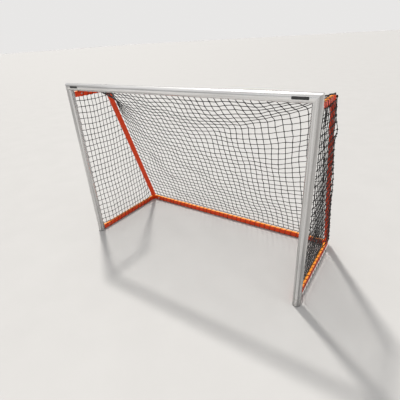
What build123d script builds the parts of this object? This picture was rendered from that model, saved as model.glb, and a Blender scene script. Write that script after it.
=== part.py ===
from build123d import *
import os
from math import atan2, cos, sin, tan

os.makedirs("parts", exist_ok=True)

# A street and pond hockey goal: a mitred frame of round aluminium tube in front, a painted steel
# frame of flat tube behind it, and a knotted net drawn over the outside of the steel frame.
# Millimetres. +Z is up, the mouth faces -Y, and the origin is on the ground under the middle of
# the goal's bounding box. A "depth" is measured back from the plane of the post centrelines.

# ---- driving dimensions -------------------------------------------------------------------
overall_width = 1830
crossbar_height = 1229          # ground to crossbar centreline
tube_diameter = 50
tube_wall = 2.5

bar_thick = 20                  # flat steel tube, across the goal
bar_tall = 40                   # flat steel tube, in the plane of the side
bar_wall = 2
bar_corner = 3
bar_clearance = 4               # ground to the underside of the base bars, room for the lacing
brace_height = 1172             # ground to the centreline of the top braces
brace_depth = 332               # post centreline to the rear upright, at the brace
base_depth = 712                # post centreline to the back base bar

mesh = 45                       # net cell, knot to knot
net_thick = 3
net_sag = 268                   # drop of the net's fold in the middle, between the uprights
fold_pull = 120                 # how far the fold's middle is drawn in front of the uprights' plane
rope_radius = 3                 # border rope behind the posts and crossbar
seam_radius = 2.5               # border rope down the rear uprights
lacing = 3                      # lacing cord
rod_radius = 5                  # bare rod that holds the net's foot to a side bar
gap = 0.3

# ---- values worked out from them ----------------------------------------------------------
tube_radius = tube_diameter / 2
bore_radius = tube_radius - tube_wall
post_x = overall_width / 2 - tube_radius
bar_x = post_x - bar_thick / 2  # the bars' outer faces stand in the posts' centre plane
bar_outer_x = bar_x + bar_thick / 2
bar_inner_x = bar_x - bar_thick / 2
base_z = bar_clearance + bar_tall / 2
brace_top = brace_height + bar_tall / 2
lean = atan2(base_depth - brace_depth, brace_height - base_z)
upright_half = bar_tall / 2 / cos(lean)
foot_depth = base_depth + (base_z - bar_clearance) * tan(lean)
rear_reach = foot_depth + upright_half
post_y = -(rear_reach - tube_radius) / 2
upright_length = (brace_top - bar_clearance) / cos(lean)

# fasteners
m6_radius = 3
m6_head_radius = 5.25
m6_head_tall = 3.3
m8_radius = 4
m8_head_tall = 5.5
m8_head_radius = 7.5            # across the corners of the hexagon
washer_radius = 8.4
washer_thick = 1.6
m6_head_round = 1.4
m6_socket_radius = 2.3
m6_socket_deep = 1.8
thread_fit = 0.02               # radial room round a thread in its hole
hole_fit = 0.3                  # radial room round a screw in a wall
corner_screw_long = 16
bracket_screw_long = 25
ear_screw_long = 20
bar_screw_long = 7


def at_depth(depth):
    """Row Y of a depth behind the post centrelines."""
    return post_y + depth


def depth_at(height):
    """Depth of a rear upright's centreline at a height."""
    return base_depth + (base_z - height) * tan(lean)


def upright_plane(x, height):
    """Plane across a rear upright: local X across the goal, local Y to the rear, Z up the bar."""
    origin = (x, at_depth(depth_at(height)), height)
    return Plane(origin=origin, x_dir=(1, 0, 0), z_dir=(0, -sin(lean), cos(lean)))


def save(builder, label):
    """Labels a finished piece and writes it."""
    builder.part.label = label
    export_step(builder.part, f"parts/{label}.step")


def flat_tube():
    """Section of the painted steel tube, drawn in the sketch that calls it."""
    RectangleRounded(bar_thick, bar_tall, bar_corner)
    inside = 2 * bar_wall
    RectangleRounded(bar_thick - inside, bar_tall - inside, bar_corner - bar_wall, mode=Mode.SUBTRACT)


def button_screw(length):
    """M6 button-head screw: local Z leaves the head, and the shank runs down from the origin."""
    with BuildPart() as screw:
        Cylinder(m6_radius, length, align=(Align.CENTER, Align.CENTER, Align.MAX))
        with BuildSketch():
            Circle(m6_head_radius)
        extrude(amount=m6_head_tall)
        fillet(screw.edges().group_by(Axis.Z)[-1], m6_head_round)
        with BuildSketch(Plane.XY.offset(m6_head_tall)):
            RegularPolygon(m6_socket_radius, 6)
        extrude(amount=-m6_socket_deep, mode=Mode.SUBTRACT)
    return screw.part


# ---- front frame: crossbar and posts ------------------------------------------------------
foot_flange = 3
foot_round = 1.2
foot_insert_long = 82
insert_radius = bore_radius - 0.2
insert_leg = 125
tapped_reach = tube_diameter - 6  # a tapped hole in an insert, from one tube diameter behind it
wall_reach = tube_radius + 10   # a hole through the rear wall only, from the same place
corner_screw_x = post_x - 60
clip_spacing = 3 * mesh
clip_x = post_x + 6             # the side ropes run just outside the bars' outer faces
clip_hole = 2.6
rope_depth = tube_radius + 7
post_clip_top = crossbar_height - insert_leg - 15
post_clip_heights = [post_clip_top - i * clip_spacing for i in range(8)]
crossbar_clip_places = [(i - 5) * clip_spacing for i in range(11)]
bracket_screw_step = 9          # two screws, this far above and below the bar's centreline
bracket_screw_depth = tube_radius + 8
ear_screw_height = 64
bracket_screw_heights = {
    "top": [brace_height - bracket_screw_step, brace_height + bracket_screw_step],
    "foot": [base_z - bracket_screw_step, base_z + bracket_screw_step],
}


def mitre(side):
    """Plane of the mitred corner on a side, facing the crossbar."""
    return Plane(origin=(side * post_x, post_y, crossbar_height), z_dir=(-side, 0, 1))


def rear_axis(x, height, depth):
    """Plane at a place on the rear of the front frame, facing straight back."""
    return Plane(origin=(x, at_depth(depth), height), x_dir=(1, 0, 0), z_dir=(0, 1, 0))


def inner_face(side, depth, height):
    """Plane on the inner face of a side's bars, facing the middle of the goal."""
    origin = (side * bar_inner_x, at_depth(depth), height)
    return Plane(origin=origin, x_dir=(0, 1, 0), z_dir=(-side, 0, 0))


def back_bar_face(side, stand_off=0):
    """Plane at a bolt in the front face of the back bar, facing the mouth."""
    origin = (side * bolt_x, at_depth(base_depth - bar_thick / 2 - stand_off), base_z)
    return Plane(origin=origin, x_dir=(1, 0, 0), z_dir=(0, -1, 0))


with BuildPart() as crossbar:
    with BuildSketch(Plane.YZ.offset(-post_x - tube_diameter)):
        with Locations((post_y, crossbar_height)):
            Circle(tube_radius)
            Circle(bore_radius, mode=Mode.SUBTRACT)
    extrude(amount=2 * (post_x + tube_diameter))
    split(bisect_by=mitre(-1), keep=Keep.TOP)
    split(bisect_by=mitre(1), keep=Keep.TOP)
    with Locations([rear_axis(x, crossbar_height, tube_diameter) for x in crossbar_clip_places]):
        Hole(clip_hole, wall_reach)
    with Locations([rear_axis(side * corner_screw_x, crossbar_height, tube_diameter) for side in (-1, 1)]):
        Hole(m6_radius + hole_fit, wall_reach)
save(crossbar, "crossbar")

for side, name in ((-1, "left"), (1, "right")):
    with BuildPart() as post:
        with BuildSketch(Plane.XY.offset(foot_flange)):
            with Locations((side * post_x, post_y)):
                Circle(tube_radius)
                Circle(bore_radius, mode=Mode.SUBTRACT)
        extrude(amount=crossbar_height + tube_diameter)
        split(bisect_by=mitre(side), keep=Keep.BOTTOM)
        with Locations([rear_axis(side * clip_x, z, tube_diameter) for z in post_clip_heights]):
            Hole(clip_hole, wall_reach)
        screw_heights = bracket_screw_heights["top"] + bracket_screw_heights["foot"]
        with Locations([rear_axis(side * bar_x, z, tube_diameter) for z in screw_heights]):
            Hole(m6_radius + hole_fit, wall_reach)
        with Locations(rear_axis(side * post_x, ear_screw_height, tube_diameter)):
            Hole(m6_radius + hole_fit, wall_reach)
    save(post, f"post_{name}")

    # A solid elbow inside the mitred corner, with tapped holes for the screws that hold it.
    with BuildPart() as corner_insert:
        with BuildLine() as elbow:
            Polyline(
                (side * post_x, post_y, crossbar_height - insert_leg),
                (side * post_x, post_y, crossbar_height),
                (side * (post_x - insert_leg), post_y, crossbar_height),
            )
        with BuildSketch(Plane(origin=elbow.line @ 0, z_dir=(0, 0, 1))):
            Circle(insert_radius)
        sweep(transition=Transition.RIGHT)
        top_screws = bracket_screw_heights["top"]
        with Locations([rear_axis(side * bar_x, z, tube_diameter) for z in top_screws]):
            Hole(m6_radius + thread_fit, tapped_reach)
        with Locations(rear_axis(side * corner_screw_x, crossbar_height, tube_diameter)):
            Hole(m6_radius + thread_fit, tapped_reach)
    save(corner_insert, f"corner_insert_{name}")

    # A plug in the foot of the post: the flange is what the post stands on.
    with BuildPart() as foot_insert:
        with BuildSketch(Plane.XY):
            with Locations((side * post_x, post_y)):
                Circle(tube_radius)
        extrude(amount=foot_flange)
        fillet(foot_insert.edges().group_by(Axis.Z)[0], foot_round)
        with BuildSketch(Plane.XY.offset(foot_flange)):
            with Locations((side * post_x, post_y)):
                Circle(insert_radius)
        extrude(amount=foot_insert_long)
        foot_screws = bracket_screw_heights["foot"]
        with Locations([rear_axis(side * bar_x, z, tube_diameter) for z in foot_screws]):
            Hole(m6_radius + thread_fit, tapped_reach)
        with Locations(rear_axis(side * post_x, ear_screw_height, tube_diameter)):
            Hole(m6_radius + thread_fit, tapped_reach)
    save(foot_insert, f"foot_insert_{name}")

seat = 0.05                     # screw heads sit this far off a curved wall
corner_screw = button_screw(corner_screw_long)
with BuildPart() as corner_screws:
    for side in (-1, 1):
        with Locations(rear_axis(side * corner_screw_x, crossbar_height, tube_radius + seat)):
            add(corner_screw)
save(corner_screws, "corner_screws")

# ---- brackets between the posts and the steel frame ---------------------------------------
slip = 0.1                      # room between curved faces that meet
saddle_inner = tube_radius + slip
saddle_outer = saddle_inner + 4
saddle_start = 15               # the saddle wraps the rear of the post from this depth back
spigot_fit = 0.2
spigot_wide = bar_thick - 2 * bar_wall - 2 * spigot_fit
spigot_tall = bar_tall - 2 * bar_wall - 2 * spigot_fit
spigot_wall = 2
spigot_corner = 1
spigot_end = 100
cross_screw_depth = 78
ear_top = 84
brackets = {
    "top_bracket": (brace_height, brace_height - bar_tall / 2, brace_top),
    "foot_bracket": (base_z, bar_clearance, ear_top),
}

for side, name in ((-1, "left"), (1, "right")):
    for kind, (centre, bottom, top) in brackets.items():
        with BuildPart() as bracket:
            with BuildSketch(Plane.XY.offset(bottom)):
                with Locations((side * post_x, post_y)):
                    Circle(saddle_outer)
                    Circle(saddle_inner, mode=Mode.SUBTRACT)
                with Locations((side * post_x, at_depth(saddle_start))):
                    Rectangle(
                        2 * tube_diameter,
                        2 * tube_diameter,
                        align=(Align.CENTER, Align.MAX),
                        mode=Mode.SUBTRACT,
                    )
            extrude(amount=top - bottom)
            with BuildSketch(rear_axis(side * bar_x, centre, saddle_start)):
                RectangleRounded(spigot_wide, spigot_tall, spigot_corner)
            extrude(amount=spigot_end - saddle_start)
            with Locations((side * post_x, post_y, centre)):
                Cylinder(saddle_inner, 2 * bar_tall, mode=Mode.SUBTRACT)
            with BuildSketch(rear_axis(side * bar_x, centre, bracket_screw_depth)):
                Rectangle(spigot_wide - 2 * spigot_wall, spigot_tall - 2 * spigot_wall)
            extrude(amount=spigot_end, mode=Mode.SUBTRACT)
            screw_heights = (centre - bracket_screw_step, centre + bracket_screw_step)
            with Locations([rear_axis(side * bar_x, z, spigot_end) for z in screw_heights]):
                Hole(m6_radius + hole_fit, spigot_end)
            with Locations(inner_face(side, cross_screw_depth, centre)):
                Hole(m6_radius + thread_fit, bar_thick / 2)
            if kind == "foot_bracket":
                with Locations(rear_axis(side * post_x, ear_screw_height, spigot_end)):
                    Hole(m6_radius + hole_fit, spigot_end)
        save(bracket, f"{kind}_{name}")

# Two screws inside each spigot pull the bracket against the post.
bracket_screw = button_screw(bracket_screw_long)
with BuildPart() as bracket_screws:
    for side in (-1, 1):
        for heights in bracket_screw_heights.values():
            for z in heights:
                with Locations(rear_axis(side * bar_x, z, bracket_screw_depth)):
                    add(bracket_screw)
save(bracket_screws, "bracket_screws")

# One more screw holds the ear that stands above each base bar.
ear_screw = button_screw(ear_screw_long)
with BuildPart() as ear_screws:
    for side in (-1, 1):
        with Locations(rear_axis(side * post_x, ear_screw_height, saddle_outer + seat)):
            add(ear_screw)
save(ear_screws, "ear_screws")

# A screw from the inner face pins each bar on its spigot.
bar_screw = button_screw(bar_screw_long)
with BuildPart() as bar_screws:
    for side in (-1, 1):
        for z in (brace_height, base_z):
            with Locations(inner_face(side, cross_screw_depth, z)):
                add(bar_screw)
save(bar_screws, "bar_screws")

# ---- steel rear frame ---------------------------------------------------------------------
bolt_x = 18 * mesh              # bolts near the ends of the back bar, between two turns of lacing
back_spigot = 95
plug_deep = 24
plug_caps = (
    ("upright_foot_plug", bar_clearance, -1, bar_clearance),
    ("upright_top_plug", brace_top, 1, 3),
)

for side, name in ((-1, "left"), (1, "right")):
    upright_front = upright_plane(side * bar_x, base_z)
    front_face = Plane(
        origin=upright_front.from_local_coords((0, -bar_tall / 2, 0)),
        x_dir=(1, 0, 0),
        z_dir=-upright_front.y_dir,
    )
    for kind, centre in (("top_brace", brace_height), ("base_bar", base_z)):
        with BuildPart() as bar:
            with BuildSketch(rear_axis(side * bar_x, centre, saddle_start)):
                flat_tube()
            extrude(amount=base_depth)
            split(bisect_by=front_face, keep=Keep.TOP)
            with Locations((side * post_x, post_y, centre)):
                Cylinder(saddle_outer + slip, 2 * bar_tall, mode=Mode.SUBTRACT)
            with Locations(inner_face(side, cross_screw_depth, centre)):
                Hole(m6_radius + hole_fit, bar_thick / 2)
        save(bar, f"{kind}_{name}")

    with BuildPart() as rear_upright:
        with BuildSketch(upright_plane(side * bar_x, -bar_tall)):
            flat_tube()
        extrude(amount=upright_length + 3 * bar_tall)  # past both cuts
        split(bisect_by=Plane.XY.offset(bar_clearance), keep=Keep.TOP)
        split(bisect_by=Plane.XY.offset(brace_top), keep=Keep.BOTTOM)
    save(rear_upright, f"rear_upright_{name}")

    # Plastic plugs close the two cut ends of the upright; the lower one is its foot.
    for kind, cut, step, cap_height in plug_caps:
        with BuildPart() as plug:
            with BuildSketch(Plane(origin=(side * bar_x, at_depth(depth_at(cut)), cut))):
                RectangleRounded(bar_thick, 2 * upright_half, bar_corner)
            extrude(amount=step * cap_height)
            with BuildSketch(upright_plane(side * bar_x, cut)):
                RectangleRounded(spigot_wide, spigot_tall, spigot_corner)
            extrude(amount=-step * plug_deep)
            with BuildSketch(upright_plane(side * bar_x, cut)):
                RectangleRounded(spigot_wide, spigot_tall, spigot_corner)
            extrude(amount=step * bar_tall)
            keep_side = Keep.TOP if step < 0 else Keep.BOTTOM
            split(bisect_by=Plane.XY.offset(cut + step * cap_height), keep=keep_side)
        save(plug, f"{kind}_{name}")

    # Solid spigot welded to the foot of the upright; the back bar slides over it.
    with BuildPart() as spigot:
        with BuildSketch(inner_face(side, base_depth, base_z)):
            RectangleRounded(spigot_wide, spigot_tall, spigot_corner)
        extrude(amount=back_spigot)
        with Locations(back_bar_face(side)):
            Hole(m8_radius + thread_fit, bar_thick - bar_wall)
    save(spigot, f"back_spigot_{name}")

with BuildPart() as back_base_bar:
    with BuildSketch(inner_face(-1, base_depth, base_z)):
        flat_tube()
    extrude(amount=2 * bar_inner_x)
    with Locations([back_bar_face(side) for side in (-1, 1)]):
        Hole(m8_radius + hole_fit, bar_thick / 2)
save(back_base_bar, "back_base_bar")

with BuildPart() as back_bar_washers:
    for side in (-1, 1):
        with BuildSketch(back_bar_face(side)):
            Circle(washer_radius)
            Circle(m8_radius + hole_fit, mode=Mode.SUBTRACT)
        extrude(amount=washer_thick)
save(back_bar_washers, "back_bar_washers")

with BuildPart() as back_bar_bolts:
    for side in (-1, 1):
        with BuildSketch(back_bar_face(side, washer_thick)):
            RegularPolygon(m8_head_radius, 6)
        extrude(amount=m8_head_tall)
        with BuildSketch(back_bar_face(side, washer_thick)):
            Circle(m8_radius)
        extrude(amount=-(bar_thick - bar_wall))
save(back_bar_bolts, "back_bar_bolts")

# A bare rod lies against the foot of each side bar, inside the lacing, and holds the net down.
rod_room = 0.2
rod_round = 1.5
rod_x = bar_outer_x + rod_radius + rod_room
rod_z = bar_clearance + rod_radius + 0.5
rod_start = 96
rod_end = base_depth + 18
for side, name in ((-1, "left"), (1, "right")):
    with BuildPart() as net_rod:
        with BuildSketch(rear_axis(side * rod_x, rod_z, rod_start)):
            Circle(rod_radius)
        extrude(amount=rod_end - rod_start)
        fillet(net_rod.edges(), rod_round)
    save(net_rod, f"net_rod_{name}")

# ---- net, ropes and lacing ----------------------------------------------------------------
clip_wide = 12
clip_long = 10
clip_foot_tall = 3.2
clip_ring = rope_radius + 2.6
stem_radius = 2.5
stem_long = 8
stem_top = tube_radius + 1      # inside the foot of the clip

with BuildSketch() as clip_section:
    # Across the rope: a foot on the tube and a ring round the rope.
    with Locations((0, tube_radius + slip)):
        Rectangle(clip_wide, clip_foot_tall, align=(Align.CENTER, Align.MIN))
    with Locations((0, rope_depth)):
        Circle(clip_ring)
        Circle(rope_radius + slip, mode=Mode.SUBTRACT)

with BuildPart() as crossbar_clips:
    for x in crossbar_clip_places:
        middle = (x - clip_long / 2, post_y, crossbar_height)
        with BuildSketch(Plane(origin=middle, x_dir=(0, 0, -1), z_dir=(1, 0, 0))):
            add(clip_section.sketch)
        extrude(amount=clip_long)
        with Locations(rear_axis(x, crossbar_height, stem_top)):
            Cylinder(stem_radius, stem_long, align=(Align.CENTER, Align.CENTER, Align.MAX))
save(crossbar_clips, "crossbar_clips")

for side, name in ((-1, "left"), (1, "right")):
    with BuildPart() as post_clips:
        for z in post_clip_heights:
            with BuildSketch(Plane(origin=(side * clip_x, post_y, z - clip_long / 2))):
                add(clip_section.sketch)
            extrude(amount=clip_long)
            with Locations(rear_axis(side * clip_x, z, stem_top)):
                Cylinder(stem_radius, stem_long, align=(Align.CENTER, Align.CENTER, Align.MAX))
    save(post_clips, f"post_clips_{name}")

rope_foot = 90                  # clear of the ear screws
rope_bend = 30
with BuildPart() as mouth_rope:
    with BuildLine() as rope_line:
        FilletPolyline(
            (-clip_x, at_depth(rope_depth), rope_foot),
            (-clip_x, at_depth(rope_depth), crossbar_height),
            (clip_x, at_depth(rope_depth), crossbar_height),
            (clip_x, at_depth(rope_depth), rope_foot),
            radius=rope_bend,
        )
    with BuildSketch(Plane(origin=rope_line.line @ 0, z_dir=rope_line.line % 0)):
        Circle(rope_radius)
    sweep()
save(mouth_rope, "mouth_rope")

ring_room = gap + lacing
net_front = rope_depth + clip_ring + 1
net_gap = 1.5                   # net to lacing, and seam rope to net
net_bottom = bar_clearance + bar_tall + ring_room + net_gap
net_stand_off = 0.5
net_face = bar_tall / 2 + net_stand_off  # square to an upright, from its centreline to the net
fold_middle = brace_top - net_sag
fold_bend_left = 4              # the fold drops steeply from its left end and evenly from its right
fold_bend_right = 1.8
pull_bend = 4
back_net_half = bar_outer_x - 1
top_net_half = bar_inner_x - ring_room - 2 * net_gap
half_sections = 6
section_places = [i * top_net_half / half_sections for i in range(-half_sections, half_sections + 1)]


def fold_height(x):
    """Height of the sagging line where the top of the net turns down into its back."""
    bend = fold_bend_left if x < 0 else fold_bend_right
    return fold_middle + net_sag * (abs(x) / bar_outer_x) ** bend


def rear_depth(height, square_off):
    """Depth, at a height, of a line a square distance behind the uprights' centrelines."""
    return depth_at(height) + square_off / cos(lean)


def fold_point(x, square_off):
    """Row Y and height of the fold: against the uprights at its ends, drawn forward between them."""
    pull = fold_pull * (1 - min(abs(x) / top_net_half, 1) ** pull_bend)
    return (at_depth(rear_depth(fold_height(x), square_off) - pull), fold_height(x))


def net_section(start, end):
    """Section of a hanging net from one place to another, drawn in the sketch that calls it."""
    slope = atan2(start[1] - end[1], end[0] - start[0])
    up = (net_thick * sin(slope), net_thick * cos(slope))
    Polygon(
        start,
        end,
        (end[0] + up[0], end[1] + up[1]),
        (start[0] + up[0], start[1] + up[1]),
        align=None,
    )


# The back of the net lies against the rears of the uprights and hangs free between them.
back_foot = (at_depth(rear_depth(net_bottom, net_face)), net_bottom)
with BuildPart() as net_back:
    for x in [-back_net_half, *section_places, back_net_half]:
        with BuildSketch(Plane.YZ.offset(x)):
            net_section(fold_point(x, net_face), back_foot)
    loft(ruled=True)
save(net_back, "net_back")

# The top of the net runs from the crossbar down to the fold.
fold_room = 6
with BuildPart() as net_top:
    for x in section_places:
        with BuildSketch(Plane.YZ.offset(x)):
            net_section((at_depth(net_front), crossbar_height), fold_point(x, net_face - fold_room))
    loft(ruled=True)
save(net_top, "net_top")

# The sides of the net hang just outside the bars.
side_net_x = bar_outer_x + net_stand_off
side_net_top = brace_height - bar_tall / 2 - ring_room - 1
seam_x = bar_outer_x + 1 + seam_radius
seam_back = net_face + seam_radius + net_gap
for side, name in ((-1, "left"), (1, "right")):
    with BuildPart() as net_side:
        with BuildSketch(Plane.YZ.offset(side * side_net_x)):
            with BuildLine():
                Polyline(
                    (at_depth(net_front), net_bottom),
                    (at_depth(rear_depth(net_bottom, net_face)), net_bottom),
                    (at_depth(rear_depth(side_net_top, net_face)), side_net_top),
                    (at_depth(net_front), side_net_top),
                    close=True,
                )
            make_face()
        extrude(amount=side * net_thick)
    save(net_side, f"net_{name}")

    # Border rope down the outer rear corner of the upright, where the side meets the back.
    with BuildPart() as seam_rope:
        seam_foot = upright_plane(side * seam_x, net_bottom)
        seam_start = seam_foot.from_local_coords((0, seam_back, 0))
        with BuildSketch(Plane(origin=seam_start, z_dir=seam_foot.z_dir)):
            Circle(seam_radius)
        extrude(amount=(brace_top - net_bottom) / cos(lean) - seam_back * tan(lean))
    save(seam_rope, f"seam_rope_{name}")

# Lacing cord: one turn round a bar for each cell of the net.
first_turn = 60
base_turns = [first_turn + i * mesh for i in range(14)]
brace_turns = base_turns[:6]
back_turns = [(i - 18.5) * mesh for i in range(38)]
ring_tall = bar_tall + 2 * ring_room
base_ring_wide = bar_thick + rod_room + 2 * rod_radius + 2 * ring_room
bar_ring_wide = bar_thick + 2 * ring_room


def turn_outline(wide):
    """One turn of the cord round a bar, drawn in the sketch that calls it."""
    RectangleRounded(wide, ring_tall, lacing)
    Rectangle(wide - 2 * lacing, ring_tall - 2 * lacing, mode=Mode.SUBTRACT)


for side, name in ((-1, "left"), (1, "right")):
    with BuildPart() as base_lacing:
        ring_middle = bar_inner_x - ring_room + base_ring_wide / 2
        for depth in base_turns:
            with BuildSketch(rear_axis(side * ring_middle, base_z, depth - lacing / 2)):
                turn_outline(base_ring_wide)
            extrude(amount=lacing)
    save(base_lacing, f"base_lacing_{name}")

    with BuildPart() as brace_lacing:
        for depth in brace_turns:
            with BuildSketch(rear_axis(side * bar_x, brace_height, depth - lacing / 2)):
                turn_outline(bar_ring_wide)
            extrude(amount=lacing)
    save(brace_lacing, f"brace_lacing_{name}")

with BuildPart() as back_lacing:
    for x in back_turns:
        middle = (x - lacing / 2, at_depth(base_depth), base_z)
        with BuildSketch(Plane(origin=middle, x_dir=(0, 1, 0), z_dir=(1, 0, 0))):
            turn_outline(bar_ring_wide)
        extrude(amount=lacing)
save(back_lacing, "back_lacing")
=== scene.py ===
from math import atan, cos, pi, radians, sin, sqrt

import bpy
import numpy as np
from mathutils import Matrix, Vector


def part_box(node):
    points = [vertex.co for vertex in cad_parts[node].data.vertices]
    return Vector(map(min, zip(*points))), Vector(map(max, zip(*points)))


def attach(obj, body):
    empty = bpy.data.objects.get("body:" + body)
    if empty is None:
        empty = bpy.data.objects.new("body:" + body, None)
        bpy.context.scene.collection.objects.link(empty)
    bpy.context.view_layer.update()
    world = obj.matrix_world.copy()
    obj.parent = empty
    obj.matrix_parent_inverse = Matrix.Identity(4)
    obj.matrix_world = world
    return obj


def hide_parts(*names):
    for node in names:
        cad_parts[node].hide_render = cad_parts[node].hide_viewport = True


# A street hockey goal: its net, ropes and lacing, its welds and its finishes, around the CAD frame.
# Metres, in the row frame: +Z up, the mouth faces -Y. Left and right are -X and +X.

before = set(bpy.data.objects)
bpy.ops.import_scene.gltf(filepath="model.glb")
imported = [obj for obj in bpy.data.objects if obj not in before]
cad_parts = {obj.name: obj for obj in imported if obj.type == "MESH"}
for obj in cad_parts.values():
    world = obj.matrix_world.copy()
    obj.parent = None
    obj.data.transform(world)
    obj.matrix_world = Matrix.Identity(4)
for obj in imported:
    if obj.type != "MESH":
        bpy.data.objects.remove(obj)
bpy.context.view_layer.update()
random = np.random.default_rng(7)

# ---- places read from the frame ---------------------------------------------------------------
post_low, post_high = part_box("post_right")
tube_radius = (post_high.x - post_low.x) / 2
post_y = post_high.y - tube_radius
crossbar_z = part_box("crossbar")[1].z - tube_radius

base_low, base_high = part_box("base_bar_right")
brace_low, brace_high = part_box("top_brace_right")
back_low, back_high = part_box("back_base_bar")
upright_low, upright_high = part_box("rear_upright_right")
rod_low, rod_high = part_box("net_rod_right")
rope_low, rope_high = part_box("mouth_rope")
bar_inner_x = base_low.x
bar_outer_x = base_high.x

# The uprights lean: their rear face is further forward at its top than at its foot.
same_height = 1e-4
upright_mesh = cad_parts["rear_upright_right"].data
upright_top = [v.co.y for v in upright_mesh.vertices if upright_high.z - v.co.z < same_height]
lean = (upright_high.y - max(upright_top)) / (upright_high.z - upright_low.z)
lean_angle = atan(lean)
square = cos(lean_angle)

rope_radius = (rope_high.y - rope_low.y) / 2
rope_y = rope_high.y - rope_radius
rope_x = rope_high.x - rope_radius
fold_corner_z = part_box("net_back")[1].z
fold_middle_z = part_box("net_top")[0].z


def rear_y(z, stand_off=0.0):
    """Y of the uprights' rear face at a height, or of a line a square distance behind it."""
    return upright_high.y - (z - upright_low.z) * lean + stand_off / square


# ---- strands: twine, rope and cord as round tubes in one mesh ---------------------------------
cuts = 3                        # steps along a strand from one knot to the next
hitch_turns = 1.25
hitch_pitch = 1.15              # from turn to turn, in twine diameters
hitch_points = 12               # in one turn


def smooth_line(points):
    """A smooth line through the points, with so many cuts from each to the next."""
    p = np.asarray(points, float)
    before = np.vstack([2 * p[0] - p[1], p[:-1]])
    after = np.vstack([p[1:], 2 * p[-1] - p[-2]])
    slope = (after - before) / 2
    t = (np.arange(cuts) / cuts)[None, :, None]
    start, end = p[:-1, None], p[1:, None]
    leave, arrive = slope[:-1, None], slope[1:, None]
    line = (
        (2 * t**3 - 3 * t**2 + 1) * start
        + (t**3 - 2 * t**2 + t) * leave
        + (3 * t**2 - 2 * t**3) * end
        + (t**3 - t**2) * arrive
    )
    return np.vstack([line.reshape(-1, 3), p[-1:]])


def unit(vectors):
    """The vectors at length one."""
    return vectors / np.linalg.norm(vectors, axis=-1, keepdims=True)


def run_along(line):
    """Distance along a line from its start to each of its points."""
    return np.concatenate([[0], np.cumsum(np.linalg.norm(np.diff(line, axis=0), axis=1))])


def directions_across(line, reference):
    """Two directions square to the line and to each other, at each of its points."""
    along = unit(np.gradient(line, axis=0))
    across = unit(np.cross(along, np.broadcast_to(reference, line.shape)))
    return across, np.cross(across, along)


def link_new(name, data):
    """A new object in the scene."""
    made = bpy.data.objects.new(name, data)
    bpy.context.scene.collection.objects.link(made)
    return made


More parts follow.
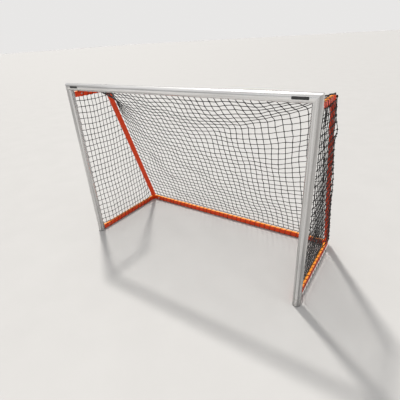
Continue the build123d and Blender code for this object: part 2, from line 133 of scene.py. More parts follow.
class Strands:
    """Collects round strands and knots into one mesh. UV: U once round a strand, V metres along."""

    def __init__(self, sides=6):
        self.sides = sides
        self.points, self.faces, self.uvs = [], [], []
        self.count = 0

    def strand(self, line, radius, reference):
        """A tube along the line. The reference is a direction that the line never takes."""
        line = np.asarray(line, float)
        radius = np.broadcast_to(np.asarray(radius, float), len(line))
        across, up = directions_across(line, reference)
        turn = np.arange(self.sides) * 2 * pi / self.sides
        ring = np.cos(turn)[None, :, None] * across[:, None] + np.sin(turn)[None, :, None] * up[:, None]
        points = line[:, None] + radius[:, None, None] * ring
        run = run_along(line)
        rings = len(line)
        i = np.repeat(np.arange(rings - 1), self.sides)
        k = np.tile(np.arange(self.sides), rings - 1)
        k_next = (k + 1) % self.sides
        here, beyond = i * self.sides, (i + 1) * self.sides
        corners = [here + k, beyond + k, beyond + k_next, here + k_next]
        u, u_next, v, v_next = k / self.sides, (k + 1) / self.sides, run[i], run[i + 1]
        uv = [np.stack(pair, 1) for pair in ((u, v), (u, v_next), (u_next, v_next), (u_next, v))]
        self._add(points.reshape(-1, 3), np.stack(corners, 1), np.stack(uv, 1))
        first, last = self.count - rings * self.sides, self.count - self.sides
        self.faces.append(list(range(first, first + self.sides)))
        self.faces.append(list(reversed(range(last, last + self.sides))))
        self.uvs += [np.zeros((self.sides, 2))] * 2

    def knot(self, centre, along, across, size):
        """A rounded lump: its half sizes lie along, across and square to both."""
        rings, sectors = 4, 8
        along = unit(np.asarray(along, float))
        square_to = unit(np.cross(along, across))
        across = np.cross(square_to, along)
        polar = np.arange(1, rings) * pi / rings
        turn = np.arange(sectors) * 2 * pi / sectors
        band = np.stack(
            [
                np.repeat(np.cos(polar), sectors),
                np.outer(np.sin(polar), np.cos(turn)).ravel(),
                np.outer(np.sin(polar), np.sin(turn)).ravel(),
            ],
            1,
        )
        lump = np.vstack([[1, 0, 0], band, [-1, 0, 0]]) * size
        points = np.asarray(centre) + lump @ np.stack([along, across, square_to])
        quads, last = [], len(lump) - 1
        for n in range(rings - 2):
            for s in range(sectors):
                a, b = 1 + n * sectors + s, 1 + n * sectors + (s + 1) % sectors
                quads.append([a, a + sectors, b + sectors, b])
        self._add(points, np.array(quads), np.zeros((len(quads), 4, 2)))
        first = self.count - len(lump)
        for s in range(sectors):
            s_next = (s + 1) % sectors
            low = 1 + (rings - 2) * sectors
            self.faces.append([first, first + 1 + s, first + 1 + s_next])
            self.faces.append([first + last, first + low + s_next, first + low + s])
            self.uvs += [np.zeros((3, 2)), np.zeros((3, 2))]

    def hitch(self, centre, axis, radius, twine):
        """Twine wound round a rope: the axis is the rope's direction."""
        axis = unit(np.asarray(axis, float))
        no_rope_runs = (0.3, 0.5, 0.81)
        side = unit(np.cross(axis, no_rope_runs))
        other = np.cross(axis, side)
        angle = np.linspace(0, hitch_turns * 2 * pi, int(hitch_turns * hitch_points))[:, None]
        advance = (angle / (2 * pi) - hitch_turns / 2) * 2 * twine * hitch_pitch
        line = centre + (radius + twine) * (np.cos(angle) * side + np.sin(angle) * other) + advance * axis
        self.strand(line, twine, axis)

    def _add(self, points, faces, uvs):
        self.faces += (faces + self.count).tolist()
        self.uvs += list(uvs)
        self.points.append(points)
        self.count += len(points)

    def piece(self, name, material, slot, replaced=()):
        """The finished piece of the goal."""
        mesh = bpy.data.meshes.new(name)
        mesh.from_pydata(np.vstack(self.points).tolist(), [], self.faces)
        mesh.uv_layers.new(name="strand").data.foreach_set("uv", np.concatenate(self.uvs).ravel())
        mesh.polygons.foreach_set("use_smooth", [len(f) < self.sides for f in self.faces])
        mesh.validate()
        return add_piece(name, mesh, material, replaced)


def add_piece(name, mesh, material, replaced=()):
    """Puts a mesh in the scene as a piece of the goal, riding on its one body."""
    mesh.materials.append(material)
    piece = link_new(name, mesh)
    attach(piece, "root")
    if replaced:
        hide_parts(*replaced)
    return piece


# ---- finishes ---------------------------------------------------------------------------------
class Look:
    """A Principled material, with short calls for the nodes that feed it."""

    def __init__(self, name, **uniform):
        self.material = bpy.data.materials.new(name)
        self.material.use_nodes = True
        self.nodes = self.material.node_tree.nodes
        self.links = self.material.node_tree.links
        self.shader = self.nodes["Principled BSDF"]
        for socket, value in uniform.items():
            self.shader.inputs[socket.replace("_", " ")].default_value = value

    def node(self, kind, settings=None, **sockets):
        """A node with its settings, and each socket given a number or fed by another node."""
        made = self.nodes.new("ShaderNode" + kind)
        for setting, value in (settings or {}).items():
            setattr(made, setting, value)
        for socket, value in sockets.items():
            socket = int(socket[1:]) if socket[0] == "_" else socket
            self.feed(made.inputs[socket], value)
        return made

    def feed(self, socket, value):
        """Links an output to a socket, or sets the socket to a number."""
        if isinstance(value, bpy.types.NodeSocket):
            self.links.new(value, socket)
        else:
            socket.default_value = value

    def place(self, stretch=(1, 1, 1)):
        """Position on the object, in metres, stretched along each axis."""
        where = self.node("TexCoord").outputs["Object"]
        return self.node("Mapping", Vector=where, Scale=stretch).outputs[0]

    def noise(self, scale, stretch=(1, 1, 1), detail=4.0, rough=0.55):
        """Cloudy noise over the object, from 0 to 1."""
        where = self.place(stretch)
        return self.node("TexNoise", Vector=where, Scale=scale, Detail=detail, Roughness=rough).outputs[0]

    def height(self):
        """Height above the ground, in metres."""
        return self.node("SeparateXYZ", Vector=self.place()).outputs["Z"]

    def math(self, operation, a, b=0.0, clamp=False):
        """An operation on two values, or on the first where it takes only one."""
        made = self.node("Math", {"operation": operation, "use_clamp": clamp}, _0=a, _1=b)
        return made.outputs[0]

    def fade(self, value, start, end, low=0.0, high=1.0):
        """From low to high as the value goes from start to end."""
        made = self.node("MapRange", {"interpolation_type": "SMOOTHSTEP"}, Value=value)
        for socket, number in (("From Min", start), ("From Max", end), ("To Min", low), ("To Max", high)):
            made.inputs[socket].default_value = number
        return made.outputs[0]

    def mix(self, factor, a, b):
        """Colour a turning to colour b."""
        made = self.node("Mix", {"data_type": "RGBA"})
        self.feed(made.inputs["Factor"], factor)
        self.feed(made.inputs[6], a)
        self.feed(made.inputs[7], b)
        return made.outputs[2]

    def bump(self, height, depth, strength=1.0, under=None):
        """A normal from a height between 0 and 1 that stands for a depth in metres."""
        made = self.node("Bump", Height=height, Distance=depth, Strength=strength)
        if under is not None:
            self.feed(made.inputs["Normal"], under)
        return made.outputs[0]

    def wear(self, **varying):
        """Feeds the shader's sockets and gives the material back."""
        for socket, value in varying.items():
            self.feed(self.shader.inputs[socket.replace("_", " ")], value)
        return self.material


def grey(value, warm=0.0):
    """A neutral colour, or a slightly warm one."""
    return (value * (1 + warm), value, value * (1 - warm), 1)


post_soil_top = 0.16            # soil reaches this high up the posts
bar_soil_top = 0.06             # and this high up the painted bars
post_soil = (0.16, 0.13, 0.06, 1)
bar_soil = (0.10, 0.075, 0.035, 1)
paint_dark = (0.66, 0.036, 0.001, 1)
paint_light = (0.84, 0.060, 0.002, 1)
# the yellow-orange of a sunlit top: painted sunlight
paint_sunlit_top = (1.0, 0.40, 0.04, 1)
paint_scratched = (0.32, 0.020, 0.003, 1)
rust = (0.20, 0.14, 0.09, 1)


def polished_aluminium(name, lines_stretch, reflection_streak_stretch, dull, bright):
    """Drawn and polished tube: painted reflection streaks and fine lines along it, scuffs and soiling at the
    foot.
    """
    look = Look(name, Metallic=1.0, IOR=1.5)
    lines = look.noise(1.0, lines_stretch, detail=3, rough=0.6)
    # Long bands of lighter and darker tone along the tube, from dull to bright: painted reflections of the
    # surroundings.
    reflection_streaks = look.fade(look.noise(1.0, reflection_streak_stretch, detail=4, rough=0.65), 0.36, 0.64)
    smudge = look.noise(7, detail=5, rough=0.6)
    scuff = look.fade(look.noise(22, detail=8, rough=0.75), 0.66, 0.74)
    foot = look.fade(look.height(), post_soil_top, 0.0)
    soil = look.math("MULTIPLY", foot, look.fade(look.noise(60, detail=6), 0.40, 0.75))
    tone = look.mix(reflection_streaks, grey(dull, 0.01), grey(bright))
    tone = look.mix(look.math("MULTIPLY", smudge, 0.25), tone, grey(0.70, 0.02))
    tone = look.mix(look.math("MULTIPLY", scuff, 0.30), tone, grey(0.32, 0.05))
    tone = look.mix(look.math("MULTIPLY", soil, 0.35), tone, post_soil)
    rough = look.fade(reflection_streaks, 0.0, 1.0, 0.26, 0.12)
    rough = look.math("ADD", rough, look.math("MULTIPLY", lines, 0.08))
    rough = look.math("ADD", rough, look.math("MULTIPLY", scuff, 0.25))
    rough = look.math("ADD", rough, look.math("MULTIPLY", soil, 0.4), clamp=True)
    fine = look.bump(lines, 0.00002, 0.35)
    return look.wear(Base_Color=tone, Roughness=rough, Normal=look.bump(scuff, 0.00006, 0.3, fine))


def orange_paint():
    """Powder coat on steel: orange peel, painted sunlight on the tops, chips down to grey primer, soil near
    the ground.
    """
    look = Look("orange_paint", Coat_Weight=0.08, Coat_Roughness=0.25, Specular_IOR_Level=0.32, IOR=1.45)
    peel = look.noise(900, detail=2)
    patches = look.noise(9, detail=5)
    chips = look.fade(look.noise(150, detail=6, rough=0.7), 0.715, 0.735)
    scratches = look.fade(look.noise(14, (1, 1, 14), detail=7, rough=0.8), 0.70, 0.76)
    # Faces that look up are mixed towards yellow-orange: painted sunlight on the tops.
    facing = look.node("SeparateXYZ", Vector=look.node("NewGeometry").outputs["Normal"]).outputs["Z"]
    painted_sunlit_tops = look.math("MULTIPLY", look.fade(facing, 0.4, 0.9), 0.75)
    foot = look.fade(look.height(), bar_soil_top, 0.0)
    soil = look.math("MULTIPLY", foot, look.fade(look.noise(70, detail=6), 0.4, 0.7))
    tone = look.mix(patches, paint_dark, paint_light)
    tone = look.mix(painted_sunlit_tops, tone, paint_sunlit_top)
    tone = look.mix(look.math("MULTIPLY", scratches, 0.40), tone, paint_scratched)
    tone = look.mix(chips, tone, grey(0.22, 0.08))
    tone = look.mix(look.math("MULTIPLY", soil, 0.55), tone, bar_soil)
    rough = look.fade(patches, 0.3, 0.7, 0.34, 0.50)
    rough = look.math("ADD", rough, look.math("MULTIPLY", soil, 0.3), clamp=True)
    skin = look.bump(peel, 0.00012, 0.25)
    chipped = look.bump(look.math("SUBTRACT", 1.0, chips), 0.00015, 0.8, skin)
    return look.wear(Base_Color=tone, Roughness=rough, Normal=chipped)


def bright_metal(name, value, stretch, rough_low, rough_high, stain, metallic=1.0):
    """Plated or bare metal: a fine grain, a cloudy tone and a few stains."""
    look = Look(name, Metallic=metallic)
    grain = look.noise(1.0, stretch, detail=3)
    cloud = look.noise(40, detail=5)
    spots = look.math("MULTIPLY", look.fade(look.noise(260, detail=5), 0.62, 0.72), stain)
    tone = look.mix(cloud, grey(value * 0.86, 0.03), grey(value, 0.015))
    tone = look.mix(spots, tone, rust)
    rough = look.fade(cloud, 0.3, 0.7, rough_low, rough_high)
    rough = look.math("ADD", rough, look.math("MULTIPLY", spots, 0.3))
    return look.wear(Base_Color=tone, Roughness=rough, Normal=look.bump(grain, 0.00003, 0.5))


def moulded_plastic(name, value):
    """Black moulded plastic: a fine spark-eroded texture and paler rubbed patches."""
    look = Look(name, IOR=1.46)
    texture = look.noise(2600, detail=2)
    rubbed = look.fade(look.noise(55, detail=5), 0.45, 0.8)
    tone = look.mix(rubbed, grey(value), grey(value * 2.6, 0.02))
    rough = look.fade(rubbed, 0.0, 1.0, 0.58, 0.42)
    return look.wear(Base_Color=tone, Roughness=rough, Normal=look.bump(texture, 0.00005, 0.5))


def braided_cord(name, value, plaits, pitch, depth):
    """Braided polypropylene: crossing plaits on the strand's own UV, loose fibres, sun-bleached stretches."""
    look = Look(name, Sheen_Weight=0.06, Sheen_Roughness=0.5, Specular_IOR_Level=0.3, IOR=1.49)
    uv = look.node("SeparateXYZ", Vector=look.node("UVMap", {"uv_map": "strand"}).outputs[0])
    around = look.math("MULTIPLY", uv.outputs["X"], 2 * pi * plaits)
    forward = look.math("MULTIPLY", uv.outputs["Y"], 2 * pi / pitch)
    one_way = look.math("SINE", look.math("ADD", forward, around))
    other_way = look.math("SINE", look.math("SUBTRACT", forward, around))
    braid = look.fade(look.math("MAXIMUM", one_way, other_way), -0.6, 1.0)
    fibre = look.noise(2400, detail=3)
    bleach = look.noise(11, detail=4)
    dark = look.mix(bleach, grey(value * 0.7), grey(value * 1.7, 0.03))
    # The grooves between the plaits are coloured darker: painted shade in the grooves.
    tone = look.mix(look.math("MULTIPLY", braid, 0.8), grey(value * 0.35), dark)
    rough = look.fade(bleach, 0.3, 0.7, 0.52, 0.68)
    fuzz = look.bump(fibre, depth * 0.4, 0.5)
    return look.wear(Base_Color=tone, Roughness=rough, Normal=look.bump(braid, depth, 0.9, fuzz))


def printed_vinyl():
    """A plain black band: matt film with worn, paler patches."""
    look = Look("plain_band", Coat_Weight=0.15, Coat_Roughness=0.3)
    worn = look.fade(look.noise(90, detail=6, rough=0.7), 0.55, 0.8)
    tone = look.mix(worn, grey(0.012), grey(0.05))
    rough = look.fade(worn, 0.0, 1.0, 0.38, 0.62)
    return look.wear(Base_Color=tone, Roughness=rough, Normal=look.bump(look.noise(1500), 0.00003, 0.4))


# Two copies of one aluminium: the uprights' copy is darker, painted shade for the darker surroundings that
# the posts reflect.
aluminium_across = polished_aluminium("aluminium_across", (4, 900, 900), (0.8, 75, 75), 0.44, 0.88)
aluminium_upright_painted_darker = polished_aluminium("aluminium_upright_painted_darker", (900, 900, 4), (75, 75, 0.8), 0.36, 0.76)
paint = orange_paint()
zinc = bright_metal("bright_zinc", 0.80, (700, 700, 700), 0.24, 0.40, 0.5)
stainless = bright_metal("stainless_screws", 0.62, (1500, 1500, 1500), 0.22, 0.34, 0.25)
# The rod's near-white, partly diffuse finish is partly its own pale metal and partly a painted reflection of
# the bright sky.
rod_tone_and_painted_sheen = bright_metal("drawn_rod_and_painted_sheen", 0.97, (1200, 6, 1200), 0.26, 0.38, 0.12, 0.4)
black_plastic = moulded_plastic("black_plastic", 0.018)
insert_plastic = moulded_plastic("insert_plastic", 0.05)
twine_look = braided_cord("net_twine", 0.007, 2, 0.0042, 0.0004)
rope_look = braided_cord("border_rope", 0.009, 4, 0.0075, 0.0008)
cord_look = braided_cord("lacing_cord", 0.007, 3, 0.0048, 0.0005)
band_look = printed_vinyl()

finishes = {
    "crossbar": aluminium_across,
    "post": aluminium_upright_painted_darker,
    "corner_insert": insert_plastic,
    "foot_insert": black_plastic,
    "upright_foot_plug": black_plastic,
    "upright_top_plug": black_plastic,
    "crossbar_clips": black_plastic,
    "post_clips": black_plastic,
    "top_bracket": zinc,
    "foot_bracket": zinc,
    "corner_screws": stainless,
    "bracket_screws": stainless,
    "ear_screws": stainless,
    "bar_screws": stainless,
    "back_bar_bolts": stainless,
    "back_bar_washers": stainless,
    "net_rod": rod_tone_and_painted_sheen,
    "top_brace": paint,
    "base_bar": paint,
    "rear_upright": paint,
    "back_base_bar": paint,
    "back_spigot": paint,
}
for name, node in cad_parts.items():
    kind = name.removesuffix("_left").removesuffix("_right")
    if kind in finishes:
        for material_slot in node.material_slots:
            material_slot.material = finishes[kind]

# ---- net: sizes and shape ---------------------------------------------------------------------
seam_low, seam_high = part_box("seam_rope_right")
seam_radius = (seam_high.x - seam_low.x) / 2
seam_x = seam_high.x - seam_radius
seam_off = 0.0045               # the seam rope's middle behind the upright's rear face
cell = 0.045
twine = 0.0022
border_twine = 0.0026
knot_size = np.array((0.0050, 0.0044, 0.0038))  # half sizes, as in Strands.knot
knot_range = (0.88, 1.15)       # the smallest and largest knots, as shares of that size
hang_off = 0.0036               # twine's middle to the bar that its knots lie on
hitch_twine = 0.0017            # twine pulled tight where it is hitched to a rope
upright_top_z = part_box("upright_top_plug_right")[1].z


wave_count = 6


def waves(places, seed, wavelength, height):
    """Smooth bumps over a surface, as a sum of crossing waves with seeded directions."""
    draw = np.random.default_rng(seed)
    total = np.zeros(len(places))
    for _ in range(wave_count):
        direction = draw.uniform(0, 2 * pi)
        length = wavelength * draw.uniform(0.6, 1.6)
        phase = draw.uniform(0, 2 * pi)
        total += np.sin((places @ (cos(direction), sin(direction))) * 2 * pi / length + phase)
    return total * height / sqrt(wave_count)


# The border rope down an upright is slack in two stretches: where it starts and ends, and how far it bows.
upper_slack = {-1: (0.90, 1.07, 0.005), 1: (0.90, 1.07, 0.011)}  # left and right
lower_slack = (0.40, 0.80, 0.005)


def rope_gap(z, side):
    """How far the slack border rope stands out from an upright at a height."""
    gap = 0
    for low, high, bow in (upper_slack[side], lower_slack):
        gap = gap + bow * np.sin(pi * np.clip((z - low) / (high - low), 0, 1)) ** 2
    return gap


# ---- net: top and back, one panel from the crossbar over the fold to the back bar --------------
columns = round(2 * bar_outer_x / cell)
rows = 33
edge_x = seam_x - 0.007         # the panel's edge at the uprights
top_edge_x = bar_inner_x - 0.003  # and at the crossbar
net_foot_z = base_high.z + 0.004
sag = fold_corner_z - fold_middle_z
fold_bend_left = 2.2            # the fold drops a little more steeply from its left end
fold_bend_right = 1.8
fold_pull = 0.120               # how far the fold's middle is drawn in front of the uprights' plane
pull_bend = 4
crease = 0.012                  # how rounded the fold is where it is sharp
slump = 0.12                    # and how much more where the net hangs slack, left of the middle
slump_start, slump_full = -0.45, 0.5  # shares of the width, counted to the left
waist = 0.045                   # the slack net is this share narrower half way down the back
top_sag = 0.012                 # how far the top hangs below a straight line from crossbar to fold
gather = 0.030                  # how far strands are drawn towards the left upright at the fold
gather_start, gather_full, gather_end = 0.3, 0.8, 1  # shares of the width, counted to the left
gather_top, gather_foot = 0.3, 0.4  # shares of the top and of the back between which they are drawn
slip = 0.045                    # how far rows have slipped down the left upright
slip_start, slip_foot = 0.7, 0.6  # from this share of the width, and down to this share of the back
steps = 500                     # points worked out along a strand before its knots are placed
top_rows = 9                    # level strands that surely lie above the fold
jitter = 0.0013                 # spread of the knots about their places
hold_cells = 3                  # bumps are at full height this many cells from the panel's borders
top_normal = np.array((0.0, 0.35, 0.94))
back_normal = np.array((0.0, square, sin(lean_angle)))


def fold_z(x):
    """Height of the line where the top of the net turns down into its back."""
    bend = fold_bend_left if x < 0 else fold_bend_right
    return fold_middle_z + sag * (abs(x) / bar_outer_x) ** bend


def rise(value, start, end):
    """From 0 to 1, smoothly, as a value goes from start to end."""
    share = np.clip((value - start) / (end - start), 0, 1)
    return share * share * (3 - 2 * share)


def blurred(values, spread):
    """Values along a line, each averaged with its neighbours; the ends stay."""
    reach = min(int(2.5 * spread), len(values) - 1)
    kernel = np.exp(-0.5 * (np.arange(-reach, reach + 1) / spread) ** 2)
    return np.convolve(np.pad(values, reach, "reflect", reflect_type="odd"), kernel / kernel.sum(), "valid")


def hanging_column(share):
    """One upright strand from the crossbar rope to the back bar, at a share of the width, -1 to 1."""
    low_x = share * edge_x
    top_x = share * top_edge_x
    loose = 1 - min(abs(low_x) / top_edge_x, 1) ** pull_bend
    z = fold_z(low_x)
    corners = np.array(
        [
            (rope_y, crossbar_z),
            (rear_y(z, hang_off) - fold_pull * loose, z),
            (rear_y(net_foot_z, hang_off), net_foot_z),
        ]
    )
    top_long, back_long = np.linalg.norm(np.diff(corners, axis=0), axis=1)
    run = np.linspace(0, top_long + back_long, steps)
    marks = (0, top_long, top_long + back_long)
    over = np.clip(run / top_long, 0, 1)
    under = np.clip((run - top_long) / back_long, 0, 1)
    slack = rise(-share, slump_start, slump_full)
    spread = (crease + slump * loose * slack) / (run[1] - run[0])
    y = blurred(np.interp(run, marks, corners[:, 0]), spread)
    z = blurred(np.interp(run, marks, corners[:, 1]) - top_sag * loose * np.sin(pi * over), spread)
    x = low_x + (top_x - low_x) * (1 - over)
    x = x * (1 - waist * loose * np.sin(pi * under) ** 2)
    drawn = rise(-share, gather_start, gather_full) * rise(share, -gather_end, -gather_full)
    x = x - gather * drawn * rise(over, gather_top, 1) * (1 - rise(under, 0, gather_foot))
    line = np.stack([x, y, z], 1)
    along = run_along(line)
    at = np.linspace(0, along[-1], rows + 1)
    down = np.clip((at - top_long) / back_long / slip_foot, 0, 1)
    at = at + slip * rise(-share, slip_start, 1) * np.sin(pi * down) ** 2
    return np.stack([np.interp(at, along, line[:, n]) for n in range(3)], 1)


def clear_of_uprights(points):
    """Points pushed out of the uprights and braces, up over their tops or back to their rear faces."""
    x, y, z = np.moveaxis(np.asarray(points, float), -1, 0)
    up = upright_top_z + hang_off - z
    back = (rear_y(z, hang_off) - y) * square
    inside = (np.abs(x) > bar_inner_x - hang_off) & (up > 0) & (back > 0)
    z = np.where(inside & (up <= back), z + up, z)
    y = np.where(inside & (up > back), y + back / square, y)
    return np.stack([x, y, z], -1)


shares = np.linspace(-1, 1, columns + 1)
net = np.stack([hanging_column(s) for s in shares])
flat_places = np.stack(np.meshgrid(np.arange(columns + 1), np.arange(rows + 1), indexing="ij"), -1) * cell
inside = np.minimum(
    np.minimum(flat_places[..., 0], flat_places[..., 0].max() - flat_places[..., 0]),
    np.minimum(flat_places[..., 1], flat_places[..., 1].max() - flat_places[..., 1]),
)
hold = np.clip(inside / (hold_cells * cell), 0, 1)
places = flat_places.reshape(-1, 2)
# Seed, wavelength and height of the bumps in X, Y and Z.
net_waves = ((11, 0.36, 0.0030), (12, 0.46, 0.0060), (13, 0.32, 0.0035))
offsets = [waves(places, *wave).reshape(hold.shape) for wave in net_waves]
net = net + np.stack(offsets, -1) * hold[..., None]
net[1:-1, 1:-1] += random.normal(0, jitter, net[1:-1, 1:-1].shape)
net = clear_of_uprights(net)

main_net = Strands()
for i in range(columns + 1):
    radius = border_twine if i in (0, columns) else twine
    main_net.strand(clear_of_uprights(smooth_line(net[i])), radius, (1, 0, 0))
for j in range(rows + 1):
    radius = border_twine if j in (0, rows) else twine
    reference = top_normal if j < top_rows else back_normal
    main_net.strand(clear_of_uprights(smooth_line(net[:, j])), radius, reference)
for i in range(1, columns):
    for j in range(1, rows):
        size = knot_size * random.uniform(*knot_range)
        main_net.knot(net[i, j], net[i, j + 1] - net[i, j - 1], net[i + 1, j] - net[i - 1, j], size)
clip_low, clip_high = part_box("crossbar_clips")
clip_half = 0.005
crossbar_clip_count = 11
crossbar_clips = np.linspace(clip_low.x + clip_half, clip_high.x - clip_half, crossbar_clip_count)
for i in range(1, columns):
    x = net[i, 0, 0]
    if np.abs(crossbar_clips - x).min() > clip_half + 2 * twine:
        main_net.hitch((x, rope_y, crossbar_z), (1, 0, 0), rope_radius, hitch_twine)
main_net.piece("net_top_and_back", twine_look, "net_twine", ("net_top", "net_back"))

# ---- net: the two sides, outside the bars -----------------------------------------------------
side_top_z = brace_low.z + 0.35 * (brace_high.z - brace_low.z)  # a third of the way up the brace
side_foot_z = base_high.z + 0.0045
side_cell = 0.036               # the sides are slack from front to back, so their cells are narrow
side_rows = round((side_top_z - side_foot_z) / cell)
side_z = np.linspace(side_top_z, side_foot_z, side_rows + 1)
side_droop = 0.010              # how far the level strands sag between post and upright
side_tuck = 0.021               # the foot crosses the base bar's top to its inner edge
tuck_tall = 0.45                # and the net leans in from this height above it
tuck_post = (0.02, 0.11)        # starting and full at these distances behind the mouth rope
tuck_upright = (0.006, 0.09)    # and in front of the upright's front face
side_jitter = 0.0012
side_hold_cells = 2.5
side_swell = 0.002              # how far the side stands out where nothing holds it
by_upright = 0.05               # closer to the seam rope than this, the net lies on the upright
nearest = 0.3                   # a knot stands at least this share of a cell off the seam rope
bar_deep = 0.040                # an upright from its front face to its rear face
face_x = bar_outer_x + hang_off
post_clip_low, post_clip_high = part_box("post_clips_right")
post_clip_count = 8
post_clips = np.linspace(post_clip_low.z + clip_half, post_clip_high.z - clip_half, post_clip_count)
# Added to the side's seed, wavelength and height of the bumps in X, Y and Z.
side_waves = ((1, 0.48, 0.0030), (2, 0.45, 0.0022), (3, 0.42, 0.0028))


def seam_y(z):
    """Y of the rope down an upright's outer rear corner."""
    return rear_y(z, seam_off)


def seam_z(y):
    """Height at which that rope is at a Y."""
    return upright_low.z + (upright_high.y + seam_off / square - y) / lean


def tucked(y, z):
    """How far the side net leans in at a place, over the base bar and between post and upright."""
    above = rise(z, side_foot_z + tuck_tall, side_foot_z)
    behind_post = rise(y - rope_y, *tuck_post)
    before_upright = rise(rear_y(z, -bar_deep) - y, *tuck_upright)
    return side_tuck * above * behind_post * before_upright


side_y = np.arange(rope_y + side_cell, seam_y(side_foot_z) - nearest * side_cell, side_cell)


def side_net(side, seed):
    """One side: level strands from the mouth rope to the seam rope, and upright ones between the bars."""
    strands = Strands()
    draw = np.random.default_rng(seed)
    y, z = np.meshgrid(side_y, side_z, indexing="ij")
    room = np.minimum(np.minimum(y - rope_y, seam_y(z) - y), np.minimum(side_top_z - z, z - side_foot_z))
    hold = np.clip(room / (side_hold_cells * cell), 0, 1)
    flat = np.stack([y, z], -1).reshape(-1, 2)
    drift = [waves(flat, seed + n, *wave).reshape(hold.shape) for n, *wave in side_waves]
    x = face_x + side_swell * hold + drift[0] * hold
    near_bar = (z > brace_low.z - cell) | (z < base_high.z + cell) | (seam_y(z) - y < by_upright)
    x = np.where(near_bar, np.maximum(x, face_x), x) - tucked(y, z)
    loose = draw.normal(0, side_jitter, hold.shape + (2,)) * np.clip(room / cell, 0, 1)[..., None]
    droop = side_droop * np.sin(pi * np.clip((y - rope_y) / (seam_y(z) - rope_y), 0, 1))
    y = y + drift[1] * hold + loose[..., 0]
    z = z - droop * np.clip((z - side_foot_z) / cell, 0, 1) + drift[2] * hold + loose[..., 1]
    knots = np.stack([side * x, y, z], -1)
    out = (side, 0, 0)

    for j, height in enumerate(side_z):
        here = side_y < seam_y(height) - nearest * side_cell
        front = (side * rope_x, rope_y, height)
        back = (side * (seam_x + rope_gap(height, side)), seam_y(height), height)
        line = np.vstack([front, knots[here, j], back])
        border = j in (0, side_rows)
        strands.strand(smooth_line(line), border_twine if border else twine, out)
        if rope_low.z < height and np.abs(post_clips - height).min() > clip_half + 2 * twine:
            strands.hitch(front, (0, 0, 1), rope_radius, hitch_twine)
        if not border:
            strands.hitch(back, (0, -lean, 1), seam_radius, hitch_twine)
    for i, depth in enumerate(side_y):
        seam_height = seam_z(depth)
        here = side_z < seam_height - nearest * cell
        line = knots[i, here]
        if seam_height < side_top_z + nearest * cell:
            top = (side * (seam_x + rope_gap(seam_height, side)), depth, seam_height)
            line = np.vstack([top, line])
            strands.hitch(top, (0, -lean, 1), seam_radius, hitch_twine)
        if len(line) > 1:
            strands.strand(smooth_line(line), twine, out)
        for j in range(1, side_rows):
            if here[j]:
                strands.knot(knots[i, j], (0, 0, 1), (0, 1, 0), knot_size * draw.uniform(*knot_range))
    return strands


side_net(-1, 21).piece("net_side_left", twine_look, "net_twine", ("net_left",))
side_net(1, 31).piece("net_side_right", twine_look, "net_twine", ("net_right",))


# ---- border ropes: three strands twisted ------------------------------------------------------
rope_step = 0.003               # from point to point along a rope
thread_share = 0.53             # radius of one of its strands, as a share of the rope's
mouth_lay = 0.022               # length of one turn of the strands
seam_lay = 0.019
mouth_knot = np.array((0.008, 0.0062, 0.0058))  # half sizes of the ropes' end knots
seam_knot = np.array((0.0075, 0.0055, 0.0055))
mouth_knot_up = 0.004           # the rope's end to the knot's middle
seam_top_room = 0.010           # how far the rope ends below the CAD one
bend = 0.03                     # radius of the mouth rope's bends


def twisted_rope(strands, line, radius, reference, lay):
    """Three strands laid round a line, with one turn for each lay length."""
    line = np.asarray(line, float)
    across, up = directions_across(line, reference)
    run = run_along(line)
    thread = radius * thread_share
    for n in range(3):
        angle = (run / lay + n / 3) * 2 * pi
        offset = np.cos(angle)[:, None] * across + np.sin(angle)[:, None] * up
        strands.strand(line + offset * (radius - thread), thread, reference)


def even_steps(corners, step):
    """Points a step apart along straight runs between corners."""
    corners = np.asarray(corners, float)
    lengths = run_along(corners)
    at = np.linspace(0, lengths[-1], int(lengths[-1] / step) + 1)
    return np.stack([np.interp(at, lengths, corners[:, n]) for n in range(3)], 1)


quarter_turn = np.linspace(0, pi / 2, 9)
centre_x, centre_z = rope_x - bend, crossbar_z - bend
right_bend = [(centre_x + bend * cos(a), rope_y, centre_z + bend * sin(a)) for a in quarter_turn]
right_half = [(rope_x, rope_y, rope_low.z), *right_bend]
left_half = [(-x, y, z) for x, y, z in reversed(right_half)]
mouth = Strands()
twisted_rope(mouth, even_steps(right_half + left_half, rope_step), rope_radius, (0, 1, 0), mouth_lay)
for side in (-1, 1):
    mouth.knot((side * rope_x, rope_y, rope_low.z + mouth_knot_up), (0, 0, 1), (1, 0, 0), mouth_knot)
mouth.piece("border_rope_mouth", rope_look, "black_rope", ("mouth_rope",))

for side, name in ((-1, "left"), (1, "right")):
    heights = np.arange(seam_low.z, seam_high.z - seam_top_room, rope_step)
    places = [(side * (seam_x + rope_gap(z, side)), seam_y(z), z) for z in heights]
    seam = Strands()
    twisted_rope(seam, places, seam_radius, (1, 0, 0), seam_lay)
    for end in (places[0], places[-1]):
        seam.knot(end, (0, -lean, 1), (1, 0, 0), seam_knot)
    seam.piece(f"border_rope_{name}", rope_look, "black_rope", (f"seam_rope_{name}",))


# ---- lacing: one cord spiralling round a bar --------------------------------------------------
cord_radius = 0.0015
ring_room = 0.0008              # a bar's face to the nearest side of the cord
bar_round = 0.003               # how rounded a bar's corners are
half_ring = 0.0015              # half the thickness of the frame's lacing rings
turn_lead = 0.12                # a turn starts this share of a cell before its ring
turn_wander = 0.0022            # and strays by about this much
cord_knot = np.array((0.0048, 0.0040, 0.0036))
even_slants = (1, 1, 1, 1)      # how much of a turn's advance is made on each of a bar's four faces
back_slants = (1, 2, 2, 0.5)


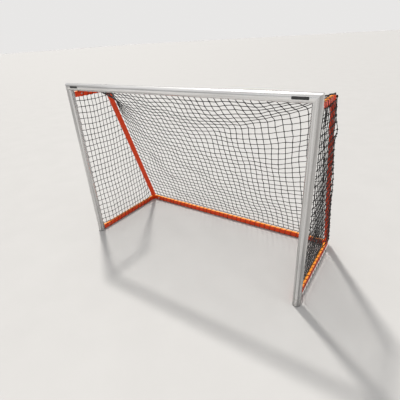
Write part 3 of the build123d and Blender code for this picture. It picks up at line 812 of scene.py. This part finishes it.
def once_round(corners, slants):
    """Points of a turn round the corners of a section, and the share of its advance reached at each.

    Each corner is the middle of a rounding and its radius; they run clockwise from the top inner one.
    """
    middles = np.array([(a, b) for a, b, _ in corners])
    sides = unit(np.roll(middles, -1, axis=0) - middles)
    square_off = np.stack([-sides[:, 1], sides[:, 0]], 1)
    reached = np.concatenate([[0], np.cumsum(slants)]) / sum(slants)
    places, shares = [], []
    for k, (a, b, radius) in enumerate(corners):
        for bent in (0, 0.25, 0.5, 0.75, 1):
            facing = unit(square_off[k - 1] * (1 - bent) + square_off[k] * bent)
            reach = radius + ring_room + cord_radius
            places.append((a + reach * facing[0], max(b + reach * facing[1], cord_radius)))
            shares.append(reached[k])
    return np.array(places), np.array(shares)


def bar_corners(low, high):
    """The rounded corners of a bar's section, clockwise from the top inner one."""
    a0, a1 = low[0] + bar_round, high[0] - bar_round
    b0, b1 = low[1] + bar_round, high[1] - bar_round
    return [(a0, b1, bar_round), (a1, b1, bar_round), (a1, b0, bar_round), (a0, b0, bar_round)]


def lacing(name, replaced, corners, first, last, along, slants, seed, side=1):
    """Cord wound round a section: first and last are the places of its end turns along the bar."""
    draw = np.random.default_rng(seed)
    turns = round((last - first) / cell)
    places, shares = once_round(corners, slants)
    shift = draw.normal(0, turn_wander, turns + 2)
    line = []
    for n in range(turns + 1):
        for (a, b), share in zip(places, shares, strict=True):
            at = first + (n + share - turn_lead) * cell + shift[n] * (1 - share) + shift[n + 1] * share
            line.append((at, a, b) if along == "x" else (side * a, at, b))
    line = line[: 2 - len(places)]  # the last turn only begins, so the cord ends on the bar's top
    strands = Strands()
    axis = (1, 0, 0) if along == "x" else (0, 1, 0)
    strands.strand(line, cord_radius, axis)
    for end, follow in ((line[0], line[1]), (line[-1], line[-2])):
        strands.knot(end, np.subtract(follow, end), axis, cord_knot)
    strands.piece(name, cord_look, "black_rope", (replaced,))


rod_radius = (rod_high.x - rod_low.x) / 2
brace_corners = bar_corners((bar_inner_x, brace_low.z), (face_x + twine, brace_high.z))
base_corners = bar_corners((bar_inner_x, base_low.z), (bar_outer_x, base_high.z))
base_corners[2] = (rod_high.x - rod_radius, rod_high.z - rod_radius, rod_radius)
for side, name in ((-1, "left"), (1, "right")):
    for bar, corners in (("base", base_corners), ("brace", brace_corners)):
        replaced = f"{bar}_lacing_{name}"
        ring_low, ring_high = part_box(replaced)
        first, last = ring_low.y + half_ring, ring_high.y - half_ring
        lacing(f"lacing_{bar}_{name}", replaced, corners, first, last, "y", even_slants, 40 + side, side)
ring_low, ring_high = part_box("back_lacing")
back_corners = bar_corners((back_low.y, back_low.z), (back_high.y, back_high.z))
first, last = ring_low.x + half_ring, ring_high.x - half_ring
lacing("lacing_back", "back_lacing", back_corners, first, last, "x", back_slants, 50)

# ---- welds of the rear frame ------------------------------------------------------------------
bead = 0.0026                   # radius
bead_step = 0.001
ripple_tall = 0.00035
ripple_long = 3.4               # steps from one ripple to the next
for side, name in ((-1, "left"), (1, "right")):
    for bar, low, high in (("brace", brace_low, brace_high), ("base", base_low, base_high)):
        foot = max(low.z, bead)
        start = (bar_inner_x, (foot + high.z) / 2)
        round_bar = [(bar_inner_x, high.z), (bar_outer_x, high.z), (bar_outer_x, foot), (bar_inner_x, foot)]
        seam_corners = [(side * x, rear_y(z, -bar_deep), z) for x, z in (start, *round_bar, start)]
        seam_line = even_steps(seam_corners, bead_step)
        ripples = np.sin(np.arange(len(seam_line)) * 2 * pi / ripple_long)
        weld = Strands(8)
        weld.strand(seam_line, bead + ripple_tall * ripples, (0, 1, -lean))
        weld.piece(f"weld_{bar}_{name}", paint, "orange_paint")

# ---- plain bands on the crossbar --------------------------------------------------------------
band_wide, band_tall, band_soft = 0.082, 0.015, 0.004  # the last is its corners' radius
band_thick = 0.0002
band_lift = 0.00012             # the tube's face to the middle of the band
band_tilt = radians(3)          # above the foremost line of the crossbar
band_middles = (("left", -0.809), ("right", 0.816))
for name, x_middle in band_middles:
    across = np.linspace(-1, 1, 25)
    up = np.linspace(-1, 1, 13)
    points = []
    for v in up * band_tall / 2:
        past = max(abs(v) - (band_tall / 2 - band_soft), 0)
        half = band_wide / 2 - band_soft + sqrt(max(band_soft**2 - past**2, 0))
        angle = band_tilt + v / tube_radius
        reach = tube_radius + band_lift
        for u in across:
            points.append((x_middle + u * half, post_y - reach * cos(angle), crossbar_z + reach * sin(angle)))
    faces = []
    for row in range(len(up) - 1):
        for col in range(len(across) - 1):
            corner = row * len(across) + col
            faces.append((corner, corner + 1, corner + len(across) + 1, corner + len(across)))
    band_mesh = bpy.data.meshes.new(f"band_{name}")
    band_mesh.from_pydata(points, [], faces)
    band_mesh.polygons.foreach_set("use_smooth", [True] * len(faces))
    band = add_piece(f"band_{name}", band_mesh, band_look)
    thick = band.modifiers.new("thick", "SOLIDIFY")
    thick.thickness = band_thick
    thick.offset = 0

# ---- lights, floor and camera -----------------------------------------------------------------
def shining(direction):
    """Rotation of a lamp that shines in a direction."""
    return Vector(direction).to_track_quat("-Z", "Y").to_euler()


sun = bpy.data.lights.new("sun", "SUN")
sun.energy = 3.2
sun.angle = radians(5)          # wide for a sun, so its shadows are soft
sun.color = (1.0, 0.97, 0.92)
link_new("sun", sun).rotation_euler = shining((0.58, -0.42, -1.23))

fill = bpy.data.lights.new("fill", "AREA")
fill.size = 3.0
fill.energy = 40
fill_place, goal_middle = Vector((1.5, -5.2, 2.6)), Vector((0, 0, 0.6))
fill_holder = link_new("fill", fill)
fill_holder.location = fill_place
fill_holder.rotation_euler = shining(goal_middle - fill_place)

world = bpy.data.worlds.new("studio")
bpy.context.scene.world = world
world.use_nodes = True
sky = world.node_tree.nodes
sky_links = world.node_tree.links
height = sky.new("ShaderNodeSeparateXYZ")
sky_links.new(sky.new("ShaderNodeTexCoord").outputs["Generated"], height.inputs[0])
band = sky.new("ShaderNodeValToRGB")
# Position and value of each belt, upwards: the floor's own brightness at the horizon, a darker belt that
# gives the metal its contrast, and a bright top.
belts = ((0.14, 0.89), (0.25, 0.40), (0.32, 0.42), (0.46, 0.90), (0.80, 1.08))
band.color_ramp.interpolation = "EASE"
ramp = band.color_ramp.elements
ramp.remove(ramp[1])
ramp[0].position = 0
for n, (place, value) in enumerate(belts):
    element = ramp[0] if n == 0 else ramp.new(place)
    element.position = place
    element.color = grey(value, 0.01)
sky_links.new(height.outputs["Z"], band.inputs[0])
sky_links.new(band.outputs[0], sky["Background"].inputs["Color"])
sky["Background"].inputs["Strength"].default_value = 0.9

reach = 120                     # far enough for its edge to be lost in the horizon
floor_corners = [(-reach, -reach, 0), (reach, -reach, 0), (reach, reach, 0), (-reach, reach, 0)]
floor_mesh = bpy.data.meshes.new("floor")
floor_mesh.from_pydata(floor_corners, [], [(0, 1, 2, 3)])
floor_look = Look("pale_floor", Roughness=0.75)
floor_tone = floor_look.mix(floor_look.noise(3, detail=6), grey(0.40, 0.01), grey(0.44, 0.01))
floor_mesh.materials.append(floor_look.wear(Base_Color=floor_tone))
floor = link_new("floor", floor_mesh)

# The camera stands at eye height in front of the right post, turned left and looking down.
camera_data = bpy.data.cameras.new("camera")
camera_data.lens = 28.77
camera_data.sensor_width = 36
camera = link_new("camera", camera_data)
camera_place = Matrix.Translation((1.27888, post_y - 1.50023, 1.50049))
heading, looking_down, roll = 0.6174, 0.4717, -0.0628
tilt = pi / 2 - looking_down
turned = Matrix.Rotation(heading, 4, "Z") @ Matrix.Rotation(tilt, 4, "X") @ Matrix.Rotation(roll, 4, "Z")
camera.matrix_world = camera_place @ turned
bpy.context.scene.camera = camera
bpy.context.scene.view_settings.view_transform = "Standard"
